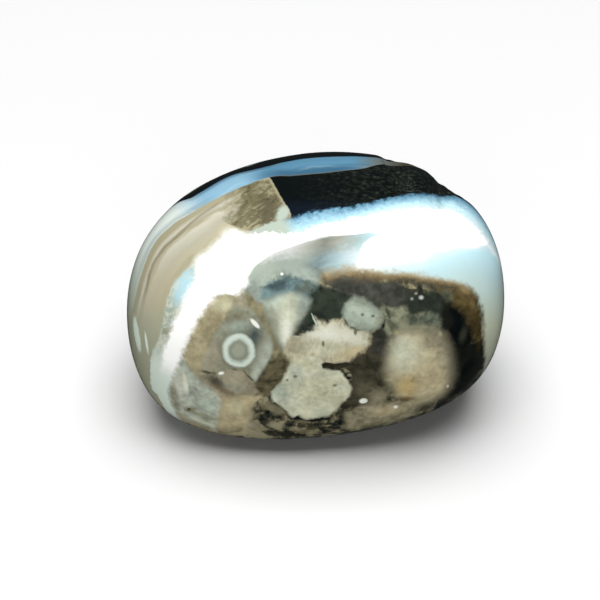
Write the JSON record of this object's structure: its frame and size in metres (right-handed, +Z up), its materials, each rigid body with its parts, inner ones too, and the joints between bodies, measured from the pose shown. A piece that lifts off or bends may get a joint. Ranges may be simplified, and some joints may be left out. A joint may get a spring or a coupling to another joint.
{
  "type": "agate gemstone",
  "caption": "Tumbled agate pebble of softly faceted form, with a shallow unpolished seam at its upper right and a small worn flat that it rests on.",
  "frame": {"origin": "middle of the stone's footprint, at the level of the flat that it rests on", "axes": "+X along the stone's length, +Y to its back, +Z up; the brecciated face with the eye looks along -Y"},
  "size_m": [0.0298, 0.0226, 0.019],
  "materials": {
    "agate": "high polish; white, black, brown and pale blue bands round a brecciated core with a small ring eye"
  },
  "bodies": {
    "root": {"agate": "agate"}
  },
  "joints": []
}
